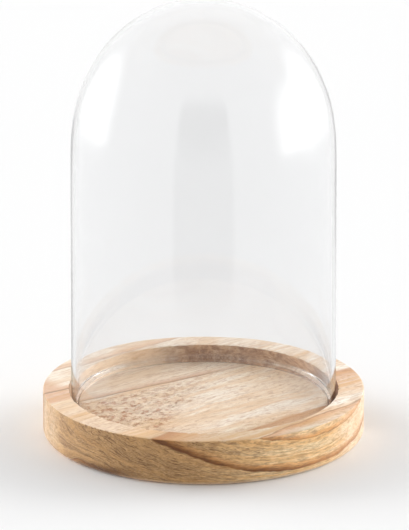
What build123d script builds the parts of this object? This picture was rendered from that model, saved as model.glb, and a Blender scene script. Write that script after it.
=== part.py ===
"""Bell jar dome: a clear glass cloche standing in the round recess of a turned wooden base.

Units are millimetres. +Z is up and the origin is at the centre of the base's underside.
"""

import os

from build123d import *

# Whole object
overall_height = 140.0

# Turned wooden base
base_diameter = 100.0
base_height = 14.6
base_bottom_round = 2.4
base_top_round = 0.4

# Recess in the base's top face, which the glass rim stands in
recess_diameter = 83.8
recess_depth = 5.2
recess_rim_round = 0.3

# Blown glass dome
glass_inner_diameter = 80.0
glass_wall = 1.2
glass_cap_height = 45.0
seat_gap = 0.02

# Fire-polished rim of the glass, thicker than the wall
rim_thickness = 2.6
rim_half_height = 1.4
rim_neck_height = 1.6

# Handle length, as a share of a radius, that makes a Bezier curve a quarter ellipse
quarter_handle = 0.5523

# Worked out from the driving dimensions
base_radius = base_diameter / 2
recess_radius = recess_diameter / 2
recess_floor_z = base_height - recess_depth
inner_radius = glass_inner_diameter / 2
outer_radius = inner_radius + glass_wall
rim_inner_radius = outer_radius - rim_thickness
rim_centre_radius = outer_radius - rim_thickness / 2
glass_bottom_z = recess_floor_z + seat_gap
rim_middle_z = glass_bottom_z + rim_half_height
neck_top_z = rim_middle_z + rim_neck_height
cap_base_z = overall_height - glass_cap_height
inner_cap_height = glass_cap_height - glass_wall

os.makedirs("parts", exist_ok=True)


def cap_quarter(radius, height):
    """Draw a quarter ellipse in the open line, from the top of the straight wall to the axis."""
    return Bezier(
        (radius, cap_base_z),
        (radius, cap_base_z + quarter_handle * height),
        (quarter_handle * radius, cap_base_z + height),
        (0, cap_base_z + height),
    )


# Wooden base: a solid disc with a well rounded bottom edge, a crisp top edge,
# and a flat-bottomed recess whose rim is only eased.
with BuildPart() as wood_base:
    Cylinder(base_radius, base_height, align=(Align.CENTER, Align.CENTER, Align.MIN))
    with BuildSketch(Plane.XY.offset(base_height)):
        Circle(recess_radius)
    extrude(amount=-recess_depth, mode=Mode.SUBTRACT)
    rings = wood_base.edges().filter_by(GeomType.CIRCLE)
    bottom_ring = rings.group_by(Axis.Z)[0]
    top_rings = rings.group_by(Axis.Z)[-1].sort_by(SortBy.RADIUS)
    fillet(bottom_ring, radius=base_bottom_round)
    fillet(top_rings[-1], radius=base_top_round)
    fillet(top_rings[0], radius=recess_rim_round)
wood_base.part.label = "wood_base"

# Glass dome: half of its wall section, turned about Z. The wall is straight up to the
# cap, the cap is half an ellipse, and the rim is a rounded lip that swells inwards.
with BuildPart() as glass_dome:
    with BuildSketch(Plane.XZ):
        with BuildLine():
            Line((outer_radius, rim_middle_z), (outer_radius, cap_base_z))
            cap_quarter(outer_radius, glass_cap_height)
            Line((0, overall_height), (0, overall_height - glass_wall))
            cap_quarter(inner_radius, inner_cap_height)
            Line((inner_radius, cap_base_z), (inner_radius, neck_top_z))
            Spline(
                (inner_radius, neck_top_z),
                (rim_inner_radius, rim_middle_z),
                tangents=((0, -1), (0, -1)),
            )
            EllipticalCenterArc(
                (rim_centre_radius, rim_middle_z),
                rim_thickness / 2,
                rim_half_height,
                start_angle=180,
                arc_size=180,
            )
        make_face()
    revolve(axis=Axis.Z)
glass_dome.part.label = "glass_dome"

for sub_part in (wood_base, glass_dome):
    export_step(sub_part.part, f"parts/{sub_part.part.label}.step")
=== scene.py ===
"""Visual model of the bell jar dome: a blown glass dome standing in a turned wooden base.

Units are metres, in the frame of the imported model, unless a name or comment says otherwise.
"""

import math

import bpy
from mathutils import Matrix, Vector, noise


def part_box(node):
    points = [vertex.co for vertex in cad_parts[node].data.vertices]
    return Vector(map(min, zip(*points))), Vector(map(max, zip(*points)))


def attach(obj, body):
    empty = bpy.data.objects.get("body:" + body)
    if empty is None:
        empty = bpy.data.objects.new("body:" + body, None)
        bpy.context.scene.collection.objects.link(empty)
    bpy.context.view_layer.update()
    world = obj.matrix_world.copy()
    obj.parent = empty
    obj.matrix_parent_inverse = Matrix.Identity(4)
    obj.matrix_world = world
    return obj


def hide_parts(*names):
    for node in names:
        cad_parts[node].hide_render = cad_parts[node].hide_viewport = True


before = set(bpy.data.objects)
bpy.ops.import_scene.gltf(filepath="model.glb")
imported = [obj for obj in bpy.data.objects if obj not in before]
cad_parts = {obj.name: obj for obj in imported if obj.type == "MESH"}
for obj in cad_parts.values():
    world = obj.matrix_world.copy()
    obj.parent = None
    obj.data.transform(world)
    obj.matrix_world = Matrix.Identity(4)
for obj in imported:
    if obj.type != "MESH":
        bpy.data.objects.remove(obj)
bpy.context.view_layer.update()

MM = 0.001
CM = 0.01

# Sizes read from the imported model
_, base_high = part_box("wood_base")
glass_low, glass_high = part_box("glass_dome")
BASE_RADIUS = base_high.x
BASE_HEIGHT = base_high.z
GLASS_RADIUS = glass_high.x
GLASS_BOTTOM = glass_low.z
GLASS_TOP = glass_high.z

# Base details
BASE_BOTTOM_ROUND = 2.4 * MM
BASE_TOP_ROUND = 0.4 * MM
RECESS_RADIUS = 41.9 * MM
RECESS_DEPTH = 5.2 * MM
RECESS_RIM_ROUND = 0.3 * MM
FLOOR_Z = BASE_HEIGHT - RECESS_DEPTH

# Glass details
GLASS_WALL = 1.2 * MM
CAP_HEIGHT = 45.0 * MM
RIM_THICKNESS = 2.6 * MM
RIM_HALF_HEIGHT = 1.4 * MM
RIM_NECK_HEIGHT = 1.6 * MM

# Direction of the wood's grain in plan, from +X towards +Y
GRAIN_ANGLE = math.radians(40.0)

# Camera: a long lens, far off, looking a little down on the object
CAMERA_DISTANCE = 3.0
CAMERA_HEIGHT = 1.0704
CAMERA_DOWN = math.radians(18.70)
CAMERA_LENS_MM = 693.4
CAMERA_SHIFT_X = 0.0018

WHITE = (1.0, 1.0, 1.0, 1.0)


# ---------------------------------------------------------------- mesh helpers


def smooth_step(value, low, high):
    """0 at low and below, 1 at high and above, and a smooth rise between them."""
    t = min(1.0, max(0.0, (value - low) / (high - low)))
    return t * t * (3 - 2 * t)


def noise_at(place, sizes):
    """Smooth noise, -1 to 1, whose ups and downs are about sizes apart along each axis."""
    return noise.noise(Vector([along / size for along, size in zip(place, sizes)]))


def plan_noise(x, y, sizes, seed):
    """Smooth noise that is the same at all heights. Each seed is another pattern."""
    return noise.noise(Vector((x / sizes[0], y / sizes[1], seed)))


def straight(start, end, step):
    """Points of a profile along a line, without its last point."""
    length = math.dist(start, end)
    count = max(1, round(length / step))
    return [
        (start[0] + (end[0] - start[0]) * i / count, start[1] + (end[1] - start[1]) * i / count)
        for i in range(count)
    ]


def curve(centre, radii, start_deg, end_deg, count):
    """Points of a profile along an elliptical arc, without its last point."""
    points = []
    for i in range(count):
        angle = math.radians(start_deg + (end_deg - start_deg) * i / count)
        points.append((centre[0] + radii[0] * math.cos(angle), centre[1] + radii[1] * math.sin(angle)))
    return points


def turned_vertices(profile, segments, relief):
    """Rings of vertices round Z, one for each inner point of a profile, moved by relief."""
    vertices = []
    for i, (radius, height) in enumerate(profile[1:-1]):
        before = profile[i]
        after = profile[i + 2]
        along = Vector((after[0] - before[0], after[1] - before[1])).normalized()
        for k in range(segments):
            angle = 2 * math.pi * k / segments
            cosine = math.cos(angle)
            sine = math.sin(angle)
            place = Vector((radius * cosine, radius * sine, height))
            normal = Vector((along.y * cosine, along.y * sine, -along.x))
            vertices.append(place + normal * relief(*place, normal))
    return vertices


def lathe(name, profile, segments, relief):
    """Turn a profile of (radius, height) points, whose two ends lie on the axis, about Z.

    relief(x, y, z, normal) is how far a point of the surface stands out along its normal.
    """
    vertices = turned_vertices(profile, segments, relief)
    following = [(k + 1) % segments for k in range(segments)]
    last = len(vertices) - segments
    faces = []
    for low in range(0, last, segments):
        high = low + segments
        faces += [
            (low + k, low + following[k], high + following[k], high + k) for k in range(segments)
        ]
    first_pole = len(vertices)
    last_pole = first_pole + 1
    vertices += [Vector((0.0, 0.0, profile[0][1])), Vector((0.0, 0.0, profile[-1][1]))]
    faces += [(first_pole, following[k], k) for k in range(segments)]
    faces += [(last_pole, last + k, last + following[k]) for k in range(segments)]
    mesh = bpy.data.meshes.new(name)
    mesh.from_pydata(vertices, [], faces)
    mesh.validate()
    mesh.shade_smooth()
    piece = bpy.data.objects.new(name, mesh)
    bpy.context.scene.collection.objects.link(piece)
    return piece


# ---------------------------------------------------------------- node helpers


class Nodes:
    """Short calls that build one node tree."""

    def __init__(self, tree):
        self.tree = tree
        tree.nodes.clear()

    def add(self, kind, inputs=None, **settings):
        """Make a node, set its properties, and feed its inputs with sockets or plain values."""
        node = self.tree.nodes.new(kind)
        for name, value in settings.items():
            setattr(node, name, value)
        for key, value in (inputs or {}).items():
            if isinstance(value, bpy.types.NodeSocket):
                self.tree.links.new(value, node.inputs[key])
            else:
                node.inputs[key].default_value = value
        return node

    def math(self, operation, *values):
        return self.add("ShaderNodeMath", dict(enumerate(values)), operation=operation).outputs[0]

    def vector_math(self, operation, *vectors):
        """The node itself: its vector is output 0, and its length or dot product is "Value"."""
        return self.add("ShaderNodeVectorMath", dict(enumerate(vectors)), operation=operation)

    def separate(self, vector):
        return self.add("ShaderNodeSeparateXYZ", {0: vector}).outputs

    def combine(self, x, y, z):
        return self.add("ShaderNodeCombineXYZ", {0: x, 1: y, 2: z}).outputs[0]

    def noise(self, place, frequencies, detail=2.0, roughness=0.5, output=0):
        """Noise with so many ups and downs in a unit of length along each axis."""
        scaled = self.vector_math("MULTIPLY", place, frequencies).outputs[0]
        inputs = {"Vector": scaled, "Scale": 1.0, "Detail": detail, "Roughness": roughness}
        return self.add("ShaderNodeTexNoise", inputs).outputs[output]

    def step(self, value, low, high, to_low=0.0, to_high=1.0):
        """Smooth step of value: to_low at low and below, to_high at high and above."""
        inputs = {"Value": value, "From Min": low, "From Max": high}
        inputs["To Min"] = to_low
        inputs["To Max"] = to_high
        return self.add("ShaderNodeMapRange", inputs, interpolation_type="SMOOTHSTEP").outputs[0]

    def between(self, amount, at_none, at_full):
        """A smooth step from at_none, where amount is 0, to at_full, where it is 1."""
        return self.step(amount, 0.0, 1.0, at_none, at_full)

    def less(self, amount, share=1.0):
        """1 without a share of amount."""
        return self.math("MULTIPLY_ADD", amount, -share, 1.0)

    def blend(self, factor, first, second):
        """first where factor is 0 and second where it is 1, for plain numbers."""
        return self.add("ShaderNodeMix", {0: factor, 2: first, 3: second}).outputs[0]

    def mix(self, factor, first, second, blend_type="MIX"):
        """first where factor is 0 and second where it is 1, for colours."""
        inputs = {0: factor, 6: first, 7: second}
        node = self.add("ShaderNodeMix", data_type="RGBA", blend_type=blend_type)
        for index, value in inputs.items():
            if isinstance(value, bpy.types.NodeSocket):
                self.tree.links.new(value, node.inputs[index])
            else:
                node.inputs[index].default_value = value
        return node.outputs[2]


def srgb(red, green, blue):
    """A display colour, 0 to 255, as the linear RGBA that nodes take."""

    def linear(value):
        value = value / 255
        return value / 12.92 if value <= 0.04045 else ((value + 0.055) / 1.055) ** 2.4

    return (linear(red), linear(green), linear(blue), 1.0)


def new_material(name):
    material = bpy.data.materials.new(name)
    material.use_nodes = True
    return material, Nodes(material.node_tree)


# ---------------------------------------------------------------- shape of the wooden base

# Slope in plan of the left growth ring, which bounds the torn patch too
LEFT_RING_SLOPE = 0.1

# The patch of the recess floor where the cutter tore the grain: in front of the left
# growth ring and left of a slanting, wavering line, in grain coordinates
TORN_RING_U = (-23.0 * MM, -20.5 * MM)
TORN_EDGE_SLOPE = 0.64
TORN_EDGE_OFFSET = -5.0 * MM
TORN_EDGE_SOFTNESS = 6.0 * MM
TORN_WAVER = 4.0 * MM
TORN_WAVER_SIZES = (8 * MM, 20 * MM)
TORN_DEPTH = 0.45 * MM
TORN_CHIP_SIZES = (1.3 * MM, 2.4 * MM)
TORN_FIBRE_SIZES = (0.7 * MM, 1.6 * MM)
TORN_CHIP_SHARE = 0.7
TORN_FIBRE_SHARE = 0.5
TORN_SINK = 0.15
# Heights between which a vertex inside the recess's radius belongs to its floor
FLOOR_HEIGHTS = (5.0 * MM, FLOOR_Z + 0.5 * MM)

# Sanding unevenness, and the finer ridges of the fibres
SANDING_DEPTH = 0.05 * MM
SANDING_SIZES = (12 * MM, 12 * MM, 12 * MM)
RIDGE_DEPTH = 0.03 * MM
RIDGE_SIZES = (1.2 * MM, 9 * MM, 1.2 * MM)

# Small chips along the recess's edge
EDGE_CHIP_REACH = 0.5 * MM
EDGE_CHIP_DEPTH = 0.22 * MM
EDGE_CHIP_SIZES = (1.6 * MM, 1.6 * MM)
EDGE_CHIP_SPAN = (0.05, 0.4)

# The recess floor faces up and lies no higher than this before it gets its relief
FLOOR_FACING = 0.9
FLOOR_REACH = 0.1 * MM
# Outside this radius the floor stays below the glass that stands on it
SEAT_RADIUS = GLASS_RADIUS - RIM_THICKNESS - 0.5 * MM
# The underside stays above the table, with only a share of the relief
UNDERSIDE_REACH = 0.05 * MM
UNDERSIDE_SHARE = 0.2

# Profile and mesh of the base
BASE_SEGMENTS = 512
BASE_STEP = 0.55 * MM
UNDERSIDE_STEP = 2.0 * MM
BOTTOM_ROUND_POINTS = 8
TOP_ROUND_POINTS = 4
RECESS_ROUND_POINTS = 3

# Seeds of the noise patterns
WAVER_SEED = 3.1
EDGE_CHIP_SEED = 2.4
TORN_CHIP_SEED = 0.7
TORN_FIBRE_SEED = 5.2


def grain_coordinates(x, y):
    """Plan position across (u) and along (v) the grain."""
    u = x * math.sin(GRAIN_ANGLE) - y * math.cos(GRAIN_ANGLE)
    v = x * math.cos(GRAIN_ANGLE) + y * math.sin(GRAIN_ANGLE)
    return u, v


def torn_amount(x, y):
    """How torn the floor's grain is at a place in plan, from 0 to 1."""
    u, v = grain_coordinates(x, y)
    waver = TORN_WAVER * plan_noise(u, v, TORN_WAVER_SIZES, WAVER_SEED)
    edge = TORN_EDGE_OFFSET - (u + TORN_EDGE_SLOPE * v) + waver
    left_of_line = smooth_step(edge, -TORN_EDGE_SOFTNESS, TORN_EDGE_SOFTNESS)
    return left_of_line * smooth_step(u - LEFT_RING_SLOPE * v, *TORN_RING_U)


def torn_relief(x, y):
    """Torn and chipped fibres on part of the recess floor."""
    torn = torn_amount(x, y)
    u, v = grain_coordinates(x, y)
    chips = TORN_CHIP_SHARE * plan_noise(u, v, TORN_CHIP_SIZES, TORN_CHIP_SEED)
    fibres = TORN_FIBRE_SHARE * plan_noise(u, v, TORN_FIBRE_SIZES, TORN_FIBRE_SEED)
    return torn * TORN_DEPTH * (chips + fibres - TORN_SINK)


def base_relief(x, y, z, normal):
    """Unevenness all over, chips along the recess's edge, and a torn patch on its floor."""
    u, v = grain_coordinates(x, y)
    radius = math.hypot(x, y)
    relief = SANDING_DEPTH * noise_at((x, y, z), SANDING_SIZES)
    relief += RIDGE_DEPTH * noise_at((u, v, z), RIDGE_SIZES)
    if z > BASE_HEIGHT - EDGE_CHIP_REACH and abs(radius - RECESS_RADIUS) < EDGE_CHIP_REACH:
        chip = plan_noise(x, y, EDGE_CHIP_SIZES, EDGE_CHIP_SEED)
        relief -= EDGE_CHIP_DEPTH * smooth_step(chip, *EDGE_CHIP_SPAN)
    if normal.z > FLOOR_FACING and z < FLOOR_Z + FLOOR_REACH:
        relief += torn_relief(x, y)
        if radius > SEAT_RADIUS:
            relief = min(relief, 0.0)
    if z < UNDERSIDE_REACH:
        relief = -abs(relief) * UNDERSIDE_SHARE
    return relief


def base_profile():
    """The base's section, from the axis on the underside round to the axis on the recess floor."""
    bottom = BASE_BOTTOM_ROUND
    top = BASE_TOP_ROUND
    rim = RECESS_RIM_ROUND
    recess_edge = RECESS_RADIUS + rim
    points = straight((0, 0), (BASE_RADIUS - bottom, 0), UNDERSIDE_STEP)
    points += curve((BASE_RADIUS - bottom, bottom), (bottom, bottom), -90, 0, BOTTOM_ROUND_POINTS)
    points += straight((BASE_RADIUS, bottom), (BASE_RADIUS, BASE_HEIGHT - top), BASE_STEP)
    points += curve((BASE_RADIUS - top, BASE_HEIGHT - top), (top, top), 0, 90, TOP_ROUND_POINTS)
    points += straight((BASE_RADIUS - top, BASE_HEIGHT), (recess_edge, BASE_HEIGHT), BASE_STEP)
    points += curve((recess_edge, BASE_HEIGHT - rim), (rim, rim), 90, 180, RECESS_ROUND_POINTS)
    points += straight((RECESS_RADIUS, BASE_HEIGHT - rim), (RECESS_RADIUS, FLOOR_Z), BASE_STEP)
    points += straight((RECESS_RADIUS, FLOOR_Z), (0, FLOOR_Z), BASE_STEP)
    return points + [(0, FLOOR_Z)]


def store_torn_amount(piece):
    """Keep how torn the floor is at each vertex, for the material to read."""
    low, high = FLOOR_HEIGHTS
    layer = piece.data.attributes.new("torn", "FLOAT", "POINT")
    for vertex, value in zip(piece.data.vertices, layer.data):
        x, y, z = vertex.co
        on_floor = low < z < high and math.hypot(x, y) < RECESS_RADIUS
        value.value = torn_amount(x, y) if on_floor else 0.0


# ---------------------------------------------------------------- wood: where its marks lie

# Here lengths are in centimetres and in the grain's own directions: u across the grain, v
# along it and w up. A span of two places is where something starts and where it is complete,
# or where it starts to fade and where it is gone.

# How far the layers wander, and the noise that moves them
WANDER_FREQUENCIES = (1.0, 0.3, 1.0)
WANDER_REACH = (0.42, 0.0, 0.42)

# The layers lean over on the right, and more and more towards the underside
LEAN_U = (-2.5, 1.2)
LEAN_SLOPE = 1.5
LEAN_CURVE = 1.2

# Growth rings: their places, and where along the grain they get weaker
LEFT_RING_U = -2.3
LEFT_RING_FADE_V = (1.2, 3.6)
FAR_LEFT_RING_U = -4.25
FRONT_RING_U = (2.6, 1.48)
FRONT_RING_V = (-4.0, -1.2)
FRONT_RING_FADE_V = (-1.6, 1.0)
RIGHT_RING_U = 4.45
RIGHT_RING_SLOPE = -0.15

# A brown corner of the rim on the left
CORNER_U = (-2.0, -1.8)
CORNER_V = (-3.6, -3.0)

# Darker low on the left of the front, most at the bottom edge
LOW_PATCH_U = 0.8
LOW_PATCH_REACH_U = (0.3, 1.7)
LOW_PATCH_SLOPE = -0.12
LOW_PATCH_HEIGHTS = (0.02, 0.32)
LOW_PATCH_V = (-4.2, -3.2)

# Painted light on the left and right, where the side lamps fall: the wood is made paler there
PAINTED_LIGHT_LEFT_U = (-1.8, -0.4)
PAINTED_LIGHT_LEFT_V = (-3.0, -1.0)
PAINTED_LIGHT_RIGHT_U = (2.5, 3.5)
PAINTED_LIGHT_RIGHT_V = (0.6, 2.6)

# Calm, even wood behind the left ring, tan wood at the near end of the grain, greyer wood
# on the front of the rim, and few pores on the right of the side
CALM_U = (-2.7, -2.3)
NEAR_END_U = (-2.2, -1.0)
NEAR_END_V = (-3.5, -0.5)
FRONT_RIM_U = (1.8, 2.8)
FRONT_RIM_V = (-0.2, 1.8)
CLEAN_SIDE_V = (-2.5, 0.5)

# Torn specks are stronger at the near end of the grain. The recess's wall is browner at the
# far end, and has painted shade on the right and on the left. Flat wood below a height is its floor
SPECK_V = (-2.5, 0.8)
RECESS_BROWN_V = (0.8, 2.4)
RECESS_SHADE_U = (0.3, 1.5)
RECESS_SHADE_V = (-2.9, -2.0)
FLOOR_BELOW_W = (FLOOR_Z + 2.5 * MM) / CM

# Noise patterns: how many ups and downs in a centimetre across the layers, along the grain
# and up
LAYER_FREQUENCIES = (2.4, 0.13, 0.3)
FIBRE_FREQUENCIES = (15.0, 0.8, 15.0)
CLOUD_FREQUENCIES = (0.8, 0.4, 0.8)
MOTTLE_FREQUENCIES = (5.0, 2.5, 6.0)
SPECK_FREQUENCIES = (7.0, 4.0, 7.0)
COARSE_PORE_FREQUENCIES = (12.0, 2.2, 10.0)
FINE_PORE_FREQUENCIES = (24.0, 3.6, 20.0)

# Values of those patterns between which each mark comes in
PALE_SPAN = (0.36, 0.6)
UNEVEN_SPAN = (0.34, 0.56)
STREAK_SPAN = (0.42, 0.6)
CROWD_SPAN = (0.35, 0.65)
COARSE_PORE_SPAN = (0.56, 0.65)
FINE_PORE_SPAN = (0.54, 0.66)
CLOUD_SPAN = (0.45, 0.62)
FIBRE_SPAN = (0.44, 0.66)
SPECK_SPAN = (0.49, 0.6)
SIDE_MOTTLE_SPAN = (0.44, 0.62)
RECESS_MOTTLE_SPAN = (0.4, 0.6)
GLOSS_SPAN = (0.3, 0.7)

# How much the surface faces up or down, and along the grain, to be flat or end grain
FLAT_FACING = (0.4, 0.9)
END_GRAIN_FACING = (0.25, 0.85)

# How strong each mark is, from 0 to 1. A pair is its strength at the two ends of a span, or
# where the thing it depends on is absent and where it is complete
LEFT_RING_STRENGTH = (0.9, 0.2)
LEFT_RING_EDGE = 0.8
FAR_RING_STRENGTH = (0.4, 0.6)
FRONT_RING_EDGE = (1.0, 0.35)
FRONT_RING_EDGE_FLAT = (1.0, 0.3)
WIDE_BAND_STRENGTH = 0.55
CORNER_STRENGTH = 0.7
UNEVEN_STRENGTH = (0.7, 1.0)
STREAK_STRENGTH = (1.0, 0.68)
BROWN_STRENGTH = 0.85
DARK_STRENGTH = 0.9
LOW_PATCH_STRENGTH = 0.9
# Strength of the painted light on the left and right, and how pale it makes the layers
PAINTED_LIGHT_LEFT_STRENGTH = 0.4
PAINTED_LIGHT_RIGHT_STRENGTH = 0.7
PAINTED_LIGHT_PALENESS = 0.6
EVENED_STRENGTH = (0.45, 0.75)
EVENED_PALENESS = 0.45
CALM_STRENGTH = 0.7
CALM_PALENESS = 0.7
NEAR_END_STRENGTH = 0.6
CLOUD_STRENGTH = 0.45
FIBRE_STRENGTH = 0.45
TORN_STRENGTH = 0.5
SPECK_STRENGTH = (0.8, 0.4)
SIDE_BROWN_STRENGTH = (0.5, 0.0)
RECESS_BROWN_STRENGTH = 0.9
RECESS_MOTTLE_STRENGTH = (0.4, 1.0)
RECESS_RIGHT_SHADE_STRENGTH = 0.85
RECESS_LEFT_SHADE_STRENGTH = 0.6
# Painted light on the recess floor: its strength, and how much less of it where torn
FLOOR_LIGHT_STRENGTH = 0.3
FLOOR_LIGHT_LOSS_IF_TORN = 0.2

# Pores: how far the layers shift the noise that makes them, their strength by kind, and how
# much fainter they are in some places
CROWD_SHIFT = (0.05, -0.03)
COARSE_PORE_STRENGTH = (0.45, 1.0)
FINE_PORE_STRENGTH = 0.75
PORE_STRENGTH = (0.75, 0.6)
PORE_LOSS_IN_RECESS = 0.8
PORE_LOSS_IN_PAINTED_LIGHT = 0.6
PORE_LOSS_ON_RIGHT = 0.5

# Colours of the wood, as a display shows them, 0 to 255
PALE_LAYER = (252, 245, 232)
TAN_LAYER = (228, 187, 140)
FIBRE_TAN = (198, 158, 112)
FRONT_RIM_TINT = (226, 221, 208)
RING_BROWN = (202, 128, 54)
RING_EDGE = (86, 50, 26)
SIDE_BROWN = (136, 100, 66)
RECESS_WALL_TINT = (250, 236, 218)
# Painted light on the recess floor
FLOOR_PAINTED_LIGHT = (255, 226, 192)
RECESS_BROWN = (146, 98, 60)
# Painted shade at the ends of the recess's wall
RECESS_PAINTED_SHADE = (112, 72, 50)
TORN_TAN = (240, 210, 174)
TORN_BROWN = (188, 118, 76)
PORE_BROWN = (98, 60, 34)
PORE_TAN = (178, 118, 66)
TURNED_SIDE_TINT = (255, 240, 206)
END_GRAIN_TINT = (208, 193, 164)

# Gloss of the surface, and the relief of its bump: its depth and each pattern's share
WOOD_ROUGHNESS = (0.42, 0.6)
WOOD_IOR = 1.5
WOOD_SPECULAR = 0.3
WOOD_SHEEN = 0.08
WOOD_SHEEN_ROUGHNESS = 0.4
BUMP_STRENGTH = 0.6
BUMP_DEPTH = 0.3 * MM
FIBRE_HEIGHT = 0.5
PORE_HEIGHT = -0.7
SPECK_HEIGHT = -0.8


# ---------------------------------------------------------------- wood: material


def wood_place(nodes, object_place):
    """Position in the solid, in centimetres: u across the grain, v along it, w up."""
    turned = nodes.add(
        "ShaderNodeMapping",
        {
            "Vector": object_place,
            "Rotation": (0.0, 0.0, math.pi / 2 - GRAIN_ANGLE),
            "Scale": (1 / CM, 1 / CM, 1 / CM),
        },
    ).outputs[0]
    slow = nodes.noise(turned, WANDER_FREQUENCIES, detail=5.0, roughness=0.55, output="Color")
    wander = nodes.vector_math("SUBTRACT", slow, (0.5, 0.5, 0.5)).outputs[0]
    wander = nodes.vector_math("MULTIPLY", wander, WANDER_REACH).outputs[0]
    return nodes.vector_math("ADD", turned, wander).outputs[0]


def distance_across_layers(nodes, u, w):
    """How far a place is across the growth layers, which stand upright on the left."""
    m = nodes.math
    depth = m("SUBTRACT", BASE_HEIGHT / CM, w)
    lean = m("MULTIPLY", depth, m("MULTIPLY_ADD", depth, LEAN_CURVE, LEAN_SLOPE))
    return m("SUBTRACT", u, m("MULTIPLY", lean, nodes.step(u, *LEAN_U)))


def end_grain_amount(nodes, normal):
    """0 where the surface runs along the grain, 1 where it cuts straight across it."""
    m = nodes.math
    x, y, _ = nodes.separate(normal)
    along_y = m("MULTIPLY", y, math.sin(GRAIN_ANGLE))
    along = m("ABSOLUTE", m("MULTIPLY_ADD", x, math.cos(GRAIN_ANGLE), along_y))
    return nodes.step(along, *END_GRAIN_FACING)


class WoodFields:
    """What is known of a place on the wood's surface, as sockets that the colours share."""

    def __init__(self, nodes):
        m = nodes.math
        source = nodes.add("ShaderNodeTexCoord")
        position = source.outputs["Object"]
        normal = source.outputs["Normal"]
        # Where it is: in the solid, and across the layers
        place = wood_place(nodes, position)
        self.u, self.v, self.w = nodes.separate(place)
        self.across = distance_across_layers(nodes, self.u, self.w)
        layered = nodes.combine(self.across, self.v, self.w)
        # Which way the surface faces: flat faces, sides, the recess's wall and end grain
        self.flat = nodes.step(m("ABSOLUTE", nodes.separate(normal)[2]), *FLAT_FACING)
        self.side = nodes.less(self.flat)
        facing_out = nodes.vector_math("DOT_PRODUCT", position, normal).outputs["Value"]
        self.in_recess = m("MULTIPLY", m("LESS_THAN", facing_out, 0.0), self.side)
        self.on_floor = m("MULTIPLY", self.flat, m("LESS_THAN", self.w, FLOOR_BELOW_W))
        self.end_grain = end_grain_amount(nodes, normal)
        # The noise patterns
        self.layer = nodes.noise(layered, LAYER_FREQUENCIES, detail=5.0, roughness=0.62)
        self.fibre = nodes.noise(place, FIBRE_FREQUENCIES, detail=3.0, roughness=0.65)
        self.cloud = nodes.noise(place, CLOUD_FREQUENCIES, detail=3.0)
        self.mottle = nodes.noise(layered, MOTTLE_FREQUENCIES, detail=5.0, roughness=0.75)
        self.coarse = nodes.noise(layered, COARSE_PORE_FREQUENCIES, roughness=0.6)
        self.fine = nodes.noise(layered, FINE_PORE_FREQUENCIES, roughness=0.6)
        speck = nodes.noise(place, SPECK_FREQUENCIES, detail=4.0, roughness=0.7)
        # The torn patch and its specks
        self.torn = nodes.add("ShaderNodeAttribute", attribute_name="torn").outputs["Fac"]
        self.speck = m("MULTIPLY", nodes.step(speck, *SPECK_SPAN), self.torn)
        # Painted light on the sides, and where the side's tint doesn't show: flat faces and the
        # painted light
        self.painted_light_left = m(
            "MULTIPLY",
            nodes.step(self.u, *PAINTED_LIGHT_LEFT_U, 1.0, 0.0),
            nodes.step(self.v, *PAINTED_LIGHT_LEFT_V, 1.0, 0.0),
        )
        self.painted_light_right = m(
            "MULTIPLY",
            nodes.step(self.u, *PAINTED_LIGHT_RIGHT_U),
            nodes.step(self.v, *PAINTED_LIGHT_RIGHT_V),
        )
        painted_side_light = m(
            "MAXIMUM",
            m("MULTIPLY", self.painted_light_left, PAINTED_LIGHT_LEFT_STRENGTH),
            m("MULTIPLY", self.painted_light_right, PAINTED_LIGHT_RIGHT_STRENGTH),
        )
        self.untinted = m("MAXIMUM", self.flat, painted_side_light)


def ring_band(nodes, distance, width, softness):
    """One growth ring: full at distance 0, fading over width on the positive side."""
    fade = nodes.step(distance, 0.0, width, 1.0, 0.0)
    return nodes.math("MULTIPLY", fade, nodes.step(distance, -softness, softness))


def ring_table(nodes, wood):
    """The growth rings, as rows of: distance in front of the ring, width of its brown band,
    the band's strength, width of its dark edge, the edge's strength, how softly both start."""
    m = nodes.math
    left = m("SUBTRACT", m("MULTIPLY_ADD", wood.v, LEFT_RING_SLOPE, LEFT_RING_U), wood.across)
    left_strength = nodes.step(wood.v, *LEFT_RING_FADE_V, *LEFT_RING_STRENGTH)
    left_edge = m("MULTIPLY", left_strength, LEFT_RING_EDGE)
    far_left = m("SUBTRACT", FAR_LEFT_RING_U, wood.across)
    far_strength = nodes.between(wood.flat, *FAR_RING_STRENGTH)
    front = m("SUBTRACT", wood.across, nodes.step(wood.v, *FRONT_RING_V, *FRONT_RING_U))
    front_edge = nodes.step(wood.v, *FRONT_RING_FADE_V, *FRONT_RING_EDGE)
    front_edge = m("MULTIPLY", front_edge, nodes.between(wood.flat, *FRONT_RING_EDGE_FLAT))
    wide_strength = m("MULTIPLY", wood.flat, WIDE_BAND_STRENGTH)
    right_place = m("MULTIPLY_ADD", wood.v, RIGHT_RING_SLOPE, RIGHT_RING_U)
    right = m("SUBTRACT", wood.across, right_place)
    return (
        (left, 0.45, left_strength, 0.12, left_edge, 0.03),
        (far_left, 0.5, far_strength, 0.12, 0.3, 0.03),
        (front, 1.15, 1.0, 0.65, front_edge, 0.1),
        (front, 2.3, wide_strength, 0.1, 0.0, 0.1),
        (right, 0.5, 0.8, 0.1, 0.55, 0.03),
    )


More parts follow.
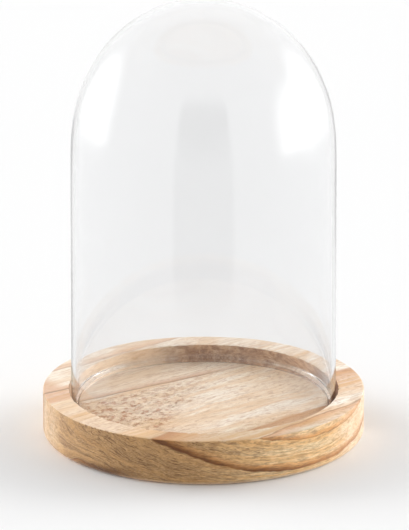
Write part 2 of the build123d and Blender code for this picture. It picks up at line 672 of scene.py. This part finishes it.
def growth_rings(nodes, wood):
    """The strong growth rings: how brown a place is, and how near a ring's dark edge."""
    m = nodes.math
    brown = 0.0
    dark = 0.0
    for distance, width, strength, edge_width, edge_strength, softness in ring_table(nodes, wood):
        band = ring_band(nodes, distance, width, softness)
        edge = ring_band(nodes, distance, edge_width, softness)
        brown = m("MAXIMUM", brown, m("MULTIPLY", band, strength))
        dark = m("MAXIMUM", dark, m("MULTIPLY", edge, edge_strength))
    corner_v = nodes.step(wood.v, *CORNER_V, CORNER_STRENGTH, 0.0)
    corner = m("MULTIPLY", nodes.step(wood.across, *CORNER_U, 1.0, 0.0), corner_v)
    brown = m("MAXIMUM", brown, m("MULTIPLY", corner, wood.flat))
    # Both vary with the layers, and on flat faces the brown is streaked by the fibres
    uneven = nodes.step(wood.layer, *UNEVEN_SPAN, *UNEVEN_STRENGTH)
    streaks = nodes.step(wood.fibre, *STREAK_SPAN, *STREAK_STRENGTH)
    brown = m("MULTIPLY", m("MULTIPLY", brown, uneven), m("MAXIMUM", streaks, wood.side))
    return brown, m("MULTIPLY", dark, uneven)


def dark_low_patch(nodes, wood):
    """Darker low on the left of the front, most at the bottom edge."""
    m = nodes.math
    offset = m("ABSOLUTE", m("SUBTRACT", wood.u, LOW_PATCH_U))
    sideways = nodes.step(offset, *LOW_PATCH_REACH_U, 1.0, 0.0)
    low = nodes.step(m("MULTIPLY_ADD", wood.u, LOW_PATCH_SLOPE, wood.w), *LOW_PATCH_HEIGHTS, 1.0, 0.0)
    in_front = nodes.step(wood.v, *LOW_PATCH_V, 1.0, 0.0)
    return m("MULTIPLY", m("MULTIPLY", sideways, low), in_front)


def wood_pores(nodes, wood):
    """Open pores, cut along their length as dashes and across it as dots, thick in some layers."""
    m = nodes.math
    crowd = nodes.step(wood.layer, *CROWD_SPAN, *CROWD_SHIFT)
    coarse = nodes.step(m("SUBTRACT", wood.coarse, crowd), *COARSE_PORE_SPAN)
    coarse = m("MULTIPLY", coarse, nodes.between(wood.end_grain, *COARSE_PORE_STRENGTH))
    fine = nodes.step(m("SUBTRACT", wood.fine, crowd), *FINE_PORE_SPAN)
    return m("MAXIMUM", coarse, m("MULTIPLY", fine, FINE_PORE_STRENGTH))


def pale_share(nodes, wood):
    """How pale the layers are, from 0 for tan to 1 for pale."""
    m = nodes.math
    # Painted light on the right makes the layers paler
    pale_painted_light = m("MULTIPLY", wood.painted_light_right, PAINTED_LIGHT_PALENESS)
    pale = m("MAXIMUM", nodes.step(wood.layer, *PALE_SPAN), pale_painted_light)
    # The layers show less on the sides, and least on end grain
    evened = m("MULTIPLY", nodes.between(wood.end_grain, *EVENED_STRENGTH), wood.side)
    pale = nodes.blend(evened, pale, EVENED_PALENESS)
    # They hardly show behind the left ring
    behind_left = m("MULTIPLY_ADD", wood.v, -LEFT_RING_SLOPE, wood.u)
    calm = nodes.step(behind_left, *CALM_U, CALM_STRENGTH, 0.0)
    return nodes.blend(m("MULTIPLY", calm, wood.flat), pale, CALM_PALENESS)


def layer_colour(nodes, wood):
    """Pale and tan layers, with tan clouds and fibres."""
    m = nodes.math
    colour = nodes.mix(pale_share(nodes, wood), srgb(*TAN_LAYER), srgb(*PALE_LAYER))
    near_end_v = nodes.step(wood.v, *NEAR_END_V, NEAR_END_STRENGTH, 0.0)
    near_end = m("MULTIPLY", near_end_v, nodes.step(wood.u, *NEAR_END_U))
    clouds = nodes.step(wood.cloud, *CLOUD_SPAN, 0.0, CLOUD_STRENGTH)
    colour = nodes.mix(m("MAXIMUM", clouds, near_end), colour, srgb(*TAN_LAYER))
    front_rim_v = nodes.step(wood.v, *FRONT_RIM_V, 1.0, 0.0)
    front_rim = m("MULTIPLY", nodes.step(wood.u, *FRONT_RIM_U), front_rim_v)
    front_rim = m("MULTIPLY", front_rim, wood.flat)
    colour = nodes.mix(front_rim, colour, srgb(*FRONT_RIM_TINT), "MULTIPLY")
    fibres = nodes.step(wood.fibre, *FIBRE_SPAN, 0.0, FIBRE_STRENGTH)
    return nodes.mix(fibres, colour, srgb(*FIBRE_TAN))


def torn_colour(nodes, wood, colour):
    """The torn patch of the floor, tan with brown specks."""
    m = nodes.math
    colour = nodes.mix(m("MULTIPLY", wood.torn, TORN_STRENGTH), colour, srgb(*TORN_TAN))
    specks = m("MULTIPLY", wood.speck, nodes.step(wood.v, *SPECK_V, *SPECK_STRENGTH))
    return nodes.mix(specks, colour, srgb(*TORN_BROWN))


def side_tint(nodes, wood):
    """End grain and turned sides are darker than the sanded top."""
    tint = nodes.mix(wood.end_grain, srgb(*TURNED_SIDE_TINT), srgb(*END_GRAIN_TINT))
    tint = nodes.mix(wood.in_recess, tint, srgb(*RECESS_WALL_TINT))
    # Flat faces and the painted light keep the untinted colour, so the painted light stays pale
    return nodes.mix(wood.untinted, tint, WHITE)


def rough_side_colour(nodes, wood, colour):
    """Brown mottling of the turned side and of the recess's wall, with painted shade at the wall's
    ends.
    """
    m = nodes.math
    side_brown = nodes.step(wood.mottle, *SIDE_MOTTLE_SPAN)
    side_brown = m("MULTIPLY", side_brown, nodes.between(wood.untinted, *SIDE_BROWN_STRENGTH))
    recess_mottle = nodes.step(wood.mottle, *RECESS_MOTTLE_SPAN, *RECESS_MOTTLE_STRENGTH)
    recess_brown = nodes.step(wood.v, *RECESS_BROWN_V, 0.0, RECESS_BROWN_STRENGTH)
    recess_brown = m("MULTIPLY", recess_brown, recess_mottle)
    amount = nodes.blend(wood.in_recess, side_brown, recess_brown)
    brown = nodes.mix(wood.in_recess, srgb(*SIDE_BROWN), srgb(*RECESS_BROWN))
    colour = nodes.mix(amount, colour, brown)
    # Painted shade at both ends of the recess's wall
    right_end_shade = nodes.step(wood.u, *RECESS_SHADE_U, 0.0, RECESS_RIGHT_SHADE_STRENGTH)
    left_end_shade = nodes.step(wood.v, *RECESS_SHADE_V, RECESS_LEFT_SHADE_STRENGTH, 0.0)
    painted_end_shade = m("MULTIPLY", m("MAXIMUM", right_end_shade, left_end_shade), wood.in_recess)
    return nodes.mix(painted_end_shade, colour, srgb(*RECESS_PAINTED_SHADE))


def painted_floor_light(nodes, wood, brown, colour):
    """Painted light: the recess floor is made a little paler, but not in its rings."""
    m = nodes.math
    floor_light = m("MULTIPLY_ADD", wood.torn, -FLOOR_LIGHT_LOSS_IF_TORN, FLOOR_LIGHT_STRENGTH)
    floor_light = m("MULTIPLY", m("MULTIPLY", wood.on_floor, floor_light), nodes.less(brown))
    return nodes.mix(floor_light, colour, srgb(*FLOOR_PAINTED_LIGHT))


def pore_colour(nodes, wood, pore, colour):
    """Pores are dark on the sides, and fainter in the recess, under the painted light and on the
    right.
    """
    m = nodes.math
    shade = nodes.between(wood.untinted, *PORE_STRENGTH)
    shade = m("MULTIPLY", shade, nodes.less(wood.in_recess, PORE_LOSS_IN_RECESS))
    shade = m("MULTIPLY", shade, nodes.less(wood.painted_light_left, PORE_LOSS_IN_PAINTED_LIGHT))
    on_right = m("MULTIPLY", nodes.step(wood.v, *CLEAN_SIDE_V), wood.side)
    shade = m("MULTIPLY", shade, nodes.less(on_right, PORE_LOSS_ON_RIGHT))
    inside = nodes.mix(wood.untinted, srgb(*PORE_BROWN), srgb(*PORE_TAN))
    return nodes.mix(m("MULTIPLY", pore, shade), colour, inside)


def wood_colour(nodes, wood, pore):
    """All the wood's colours, one over the other."""
    m = nodes.math
    brown, dark = growth_rings(nodes, wood)
    colour = layer_colour(nodes, wood)
    colour = nodes.mix(m("MULTIPLY", brown, BROWN_STRENGTH), colour, srgb(*RING_BROWN))
    colour = torn_colour(nodes, wood, colour)
    colour = nodes.mix(1.0, colour, side_tint(nodes, wood), "MULTIPLY")
    colour = rough_side_colour(nodes, wood, colour)
    low_patch = m("MULTIPLY", dark_low_patch(nodes, wood), LOW_PATCH_STRENGTH)
    colour = nodes.mix(low_patch, colour, srgb(*RING_EDGE))
    colour = nodes.mix(m("MULTIPLY", dark, DARK_STRENGTH), colour, srgb(*RING_EDGE))
    colour = painted_floor_light(nodes, wood, brown, colour)
    return pore_colour(nodes, wood, pore, colour)


def wood_bump(nodes, wood, pore):
    """Raised fibres, with open pores and torn specks below them."""
    m = nodes.math
    height = m("MULTIPLY_ADD", wood.fibre, FIBRE_HEIGHT, m("MULTIPLY", pore, PORE_HEIGHT))
    height = m("MULTIPLY_ADD", wood.speck, SPECK_HEIGHT, height)
    inputs = {"Strength": BUMP_STRENGTH, "Distance": BUMP_DEPTH, "Height": height}
    return nodes.add("ShaderNodeBump", inputs).outputs[0]


def wood_material():
    """Bare, sanded, ring-porous wood, worked out in the solid."""
    material, nodes = new_material("pale_wood")
    wood = WoodFields(nodes)
    pore = wood_pores(nodes, wood)
    inputs = {
        "Base Color": wood_colour(nodes, wood, pore),
        "Roughness": nodes.step(wood.fibre, *GLOSS_SPAN, *WOOD_ROUGHNESS),
        "Normal": wood_bump(nodes, wood, pore),
        "IOR": WOOD_IOR,
        "Specular IOR Level": WOOD_SPECULAR,
        "Sheen Weight": WOOD_SHEEN,
        "Sheen Roughness": WOOD_SHEEN_ROUGHNESS,
    }
    shader = nodes.add("ShaderNodeBsdfPrincipled", inputs)
    nodes.add("ShaderNodeOutputMaterial", {"Surface": shader.outputs[0]})
    return material


def make_wood_base():
    piece = lathe("turned_base", base_profile(), BASE_SEGMENTS, base_relief)
    store_torn_amount(piece)
    piece.data.materials.append(wood_material())
    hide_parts("wood_base")
    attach(piece, "base")


# ---------------------------------------------------------------- glass dome

# Height over which the straight wall eases into the curve of the cap
SHOULDER_HEIGHT = 18.0 * MM

# Slow waviness of blown glass. It is gone at the rim, and the inner face has its own pattern
WAVE_DEPTH = 0.04 * MM
WAVE_WIDTH = 22 * MM
WAVE_HEIGHT = 45 * MM
WAVE_FADE_HEIGHT = 3 * MM
INNER_WAVE_SEED = 7.0

# Profile and mesh of the glass
GLASS_SEGMENTS = 256
GLASS_STEP = 1.2 * MM
CAP_POINTS = 64
BEAD_POINTS = 16
NECK_POINTS = 8

GLASS_COLOUR = (0.953, 0.955, 0.958, 1.0)
GLASS_IOR = 1.47


def shoulder_ease(z):
    """How far the glass comes in, so that the cap's curve starts little by little."""
    low = GLASS_TOP - CAP_HEIGHT - SHOULDER_HEIGHT / 2
    t = min(1.0, max(0.0, (z - low) / SHOULDER_HEIGHT))
    # The curvature rises from none to the cap's own, so the gap to the plain outline is a
    # cubic from either end, and both meet halfway
    curvature = GLASS_RADIUS / CAP_HEIGHT**2
    whole = curvature * SHOULDER_HEIGHT**2 / 24
    eased = 4 * whole * t**3 if t < 0.5 else whole - 4 * whole * (1 - t) ** 3
    # Above the shoulder it fades out again, up to the top of the cap
    return eased * (1 - smooth_step(z, low + SHOULDER_HEIGHT, GLASS_TOP))


def glass_relief(x, y, z, normal):
    """The waviness of the glass and its eased shoulder, on both faces."""
    above_cap_base = max(0.0, z - GLASS_TOP + CAP_HEIGHT)
    outside = normal.dot(Vector((x, y, above_cap_base))) > 0
    seed = 0.0 if outside else INNER_WAVE_SEED
    wave = noise.noise(Vector((x / WAVE_WIDTH, y / WAVE_WIDTH, z / WAVE_HEIGHT + seed)))
    wave *= WAVE_DEPTH * smooth_step(z, GLASS_BOTTOM, GLASS_BOTTOM + WAVE_FADE_HEIGHT)
    return wave - shoulder_ease(z) if outside else wave + shoulder_ease(z)


def glass_profile():
    """The glass's section, from the axis inside the cap round the rim to the axis on top."""
    cap_base = GLASS_TOP - CAP_HEIGHT
    outer = GLASS_RADIUS
    inner = outer - GLASS_WALL
    swell = RIM_THICKNESS - GLASS_WALL
    rim_middle = GLASS_BOTTOM + RIM_HALF_HEIGHT
    neck_top = rim_middle + RIM_NECK_HEIGHT
    bead_centre = (outer - RIM_THICKNESS / 2, rim_middle)
    points = curve((0, cap_base), (inner, CAP_HEIGHT - GLASS_WALL), 90, 0, CAP_POINTS)
    points[0] = (0, GLASS_TOP - GLASS_WALL)
    points += straight((inner, cap_base), (inner, neck_top), GLASS_STEP)
    for i in range(NECK_POINTS):
        down = i / NECK_POINTS
        points.append((inner - swell * smooth_step(down, 0, 1), neck_top - RIM_NECK_HEIGHT * down))
    points += curve(bead_centre, (RIM_THICKNESS / 2, RIM_HALF_HEIGHT), 180, 360, BEAD_POINTS)
    points += straight((outer, rim_middle), (outer, cap_base), GLASS_STEP)
    points += curve((0, cap_base), (outer, CAP_HEIGHT), 0, 90, CAP_POINTS)
    return points + [(0, GLASS_TOP)]


def glass_material():
    """Clear glass, which lets the lamps' light straight through to what stands inside."""
    material, nodes = new_material("clear_glass")
    inputs = {
        "Base Color": GLASS_COLOUR,
        "Roughness": 0.0,
        "IOR": GLASS_IOR,
        "Transmission Weight": 1.0,
    }
    glass = nodes.add("ShaderNodeBsdfPrincipled", inputs)
    clear = nodes.add("ShaderNodeBsdfTransparent", {"Color": WHITE})
    path = nodes.add("ShaderNodeLightPath")
    lighting = nodes.math("MAXIMUM", path.outputs["Is Shadow Ray"], path.outputs["Is Diffuse Ray"])
    mixed = nodes.add("ShaderNodeMixShader", {0: lighting, 1: glass.outputs[0], 2: clear.outputs[0]})
    nodes.add("ShaderNodeOutputMaterial", {"Surface": mixed.outputs[0]})
    return material


def make_glass_dome():
    piece = lathe("blown_dome", glass_profile(), GLASS_SEGMENTS, glass_relief)
    piece.data.materials.append(glass_material())
    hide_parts("glass_dome")
    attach(piece, "dome")


# ---------------------------------------------------------------- stage

# Large soft lamps at the sides: the direction of each from the object, and its light
LAMPS = (
    (Vector((-0.88, 0.44, 0.04)).normalized(), 9.4),
    (Vector((0.87, 0.48, 0.03)).normalized(), 9.7),
    (Vector((0.95, 0.05, 0.06)).normalized(), 1.1),
)
# Cosines of the angles from its middle where a lamp ends and where it is full
LAMP_SPAN = (0.82, 1.0)
# How bright a lamp's middle looks in mirrors
LAMP_IN_MIRRORS = 2.7

# Light of the tent near the floor and overhead, and its share behind the camera
LOW_LIGHT = 1.78
HIGH_LIGHT = 0.42
TENT_LIGHT_Y = (-1.0, 0.2)
BEHIND_CAMERA_SHARE = 0.6

# How bright the tent looks in mirrors, from behind the camera to behind the object
TENT_SLOPE = 0.36
TENT_MIDDLE = 0.82
TENT_POWER = 0.6

# A painted reflection that only mirrors show, a dark shape standing in for whoever stands at the
# camera: its sides, as a slope in plan and how soft they are, and how far up a direction points where
# it ends
FIGURE_SLOPE = 0.46
FIGURE_EDGE = (-0.06, 0.05)
FIGURE_TOP = (0.55, 0.8)
# Where its painted dark reflection on the table ends, in front of the object
FIGURE_NEAR_Y = (-0.23, -0.16)

# The table: its half width, its colour, how bright its painted reflection glows in mirrors at the
# camera's side and behind the object, and how far off it starts and ends taking up the lamps' painted
# glow
TABLE_HALF = 8.0
TABLE_GREY = 0.87
TABLE_SPAN_Y = (-1.2, 1.1)
TABLE_IN_MIRRORS = (0.6, 1.05)
TABLE_GLOW_REACH = (0.3, 1.5)


def lamp_glow(nodes, direction, towards):
    """How much of a lamp shows in a direction, from 0 at its edge to 1 at its middle."""
    facing = nodes.vector_math("DOT_PRODUCT", direction, towards).outputs["Value"]
    return nodes.step(facing, *LAMP_SPAN)


def beside_figure(nodes, x, y):
    """1 in the directions beside whoever stands at the camera, and 0 towards them."""
    m = nodes.math
    return nodes.step(m("MULTIPLY_ADD", y, FIGURE_SLOPE, m("ABSOLUTE", x)), *FIGURE_EDGE)


def in_mirror(nodes, path):
    """1 for a ray that a mirror has turned round, and 0 for one that only went through glass."""
    return nodes.math("GREATER_THAN", path.outputs["Glossy Depth"], 0.5)


def mirrored_table(nodes, place):
    """The table's painted reflection: how bright it glows in mirrors at a place on it."""
    m = nodes.math
    reach = nodes.vector_math("LENGTH", place).outputs["Value"]
    direction = nodes.vector_math("NORMALIZE", place).outputs[0]
    x, y, _ = nodes.separate(direction)
    level = nodes.step(y, *TABLE_SPAN_Y, *TABLE_IN_MIRRORS)
    near_horizon = nodes.step(reach, *TABLE_GLOW_REACH)
    for towards, _ in LAMPS:
        glow = lamp_glow(nodes, direction, towards)
        glow = m("MULTIPLY", m("MULTIPLY", glow, glow), near_horizon)
        level = m("MULTIPLY_ADD", glow, LAMP_IN_MIRRORS, level)
    nearer = nodes.step(m("MULTIPLY", y, reach), *FIGURE_NEAR_Y)
    clear = m("MINIMUM", m("ADD", beside_figure(nodes, x, y), nearer), 1.0)
    return m("MULTIPLY", level, clear)


def table_material():
    material, nodes = new_material("pale_floor_painted_in_mirrors")
    place = nodes.add("ShaderNodeTexCoord").outputs["Object"]
    grey = (TABLE_GREY, TABLE_GREY, TABLE_GREY, 1.0)
    plain = nodes.add("ShaderNodeBsdfDiffuse", {"Color": grey})
    mirrored = nodes.add(
        "ShaderNodeEmission",
        {"Color": WHITE, "Strength": mirrored_table(nodes, place)},
    )
    # Mirrors see the table glow with a painted reflection; all other rays see it plain and pale
    mirror = in_mirror(nodes, nodes.add("ShaderNodeLightPath"))
    mixed = nodes.add("ShaderNodeMixShader", {0: mirror, 1: plain.outputs[0], 2: mirrored.outputs[0]})
    nodes.add("ShaderNodeOutputMaterial", {"Surface": mixed.outputs[0]})
    return material


def make_floor():
    """A plain pale table top, far wider than any view, that glows with a painted reflection in
    mirrors.
    """
    half = TABLE_HALF
    corners = [(-half, -half, 0), (half, -half, 0), (half, half, 0), (-half, half, 0)]
    mesh = bpy.data.meshes.new("studio_floor")
    mesh.from_pydata(corners, [], [(0, 1, 2, 3)])
    floor = bpy.data.objects.new("studio_floor", mesh)
    bpy.context.scene.collection.objects.link(floor)
    mesh.materials.append(table_material())


def studio_level(nodes, direction, mirror):
    """How bright the studio is in a direction, as light and as mirrors show it."""
    m = nodes.math
    x, y, z = nodes.separate(direction)
    tent = m("MAXIMUM", m("MULTIPLY_ADD", y, TENT_SLOPE, TENT_MIDDLE), 0.0)
    tent = m("POWER", tent, TENT_POWER)
    over = nodes.step(z, *FIGURE_TOP)
    clear = m("MINIMUM", m("ADD", beside_figure(nodes, x, y), over), 1.0)
    mirrored = m("MULTIPLY", tent, clear)
    light = nodes.between(z, LOW_LIGHT, HIGH_LIGHT)
    light = m("MULTIPLY", light, nodes.step(y, *TENT_LIGHT_Y, BEHIND_CAMERA_SHARE, 1.0))
    level = nodes.blend(mirror, light, mirrored)
    for towards, lamp_light in LAMPS:
        glow = lamp_glow(nodes, direction, towards)
        mirrored_glow = m("MULTIPLY", glow, LAMP_IN_MIRRORS)
        brightness = nodes.blend(mirror, lamp_light, mirrored_glow)
        level = m("MULTIPLY_ADD", glow, brightness, level)
    return level


def make_world():
    """A white tent round the object, open and dim behind the camera."""
    world = bpy.data.worlds.new("soft_studio")
    world.use_nodes = True
    bpy.context.scene.world = world
    nodes = Nodes(world.node_tree)
    m = nodes.math
    direction = nodes.add("ShaderNodeTexCoord").outputs["Generated"]
    path = nodes.add("ShaderNodeLightPath")
    mirror = in_mirror(nodes, path)
    level = studio_level(nodes, direction, mirror)
    studio = nodes.add("ShaderNodeBackground", {"Color": WHITE, "Strength": level})
    page = nodes.add("ShaderNodeBackground", {"Color": WHITE, "Strength": 1.0})
    # Seen directly or through the glass, the background is plain white
    seen = m("MAXIMUM", path.outputs["Is Camera Ray"], path.outputs["Is Transmission Ray"])
    seen = m("MULTIPLY", seen, nodes.less(mirror))
    mixed = nodes.add("ShaderNodeMixShader", {0: seen, 1: studio.outputs[0], 2: page.outputs[0]})
    nodes.add("ShaderNodeOutputWorld", {"Surface": mixed.outputs[0]})


def make_camera():
    data = bpy.data.cameras.new("camera")
    data.lens = CAMERA_LENS_MM
    data.shift_x = CAMERA_SHIFT_X
    camera = bpy.data.objects.new("camera", data)
    camera.location = (0.0, -CAMERA_DISTANCE, CAMERA_HEIGHT)
    camera.rotation_euler = (math.pi / 2 - CAMERA_DOWN, 0.0, 0.0)
    bpy.context.scene.collection.objects.link(camera)
    bpy.context.scene.camera = camera


make_camera()
make_floor()
make_world()
make_wood_base()
make_glass_dome()

scene = bpy.context.scene
scene.view_settings.view_transform = "Standard"
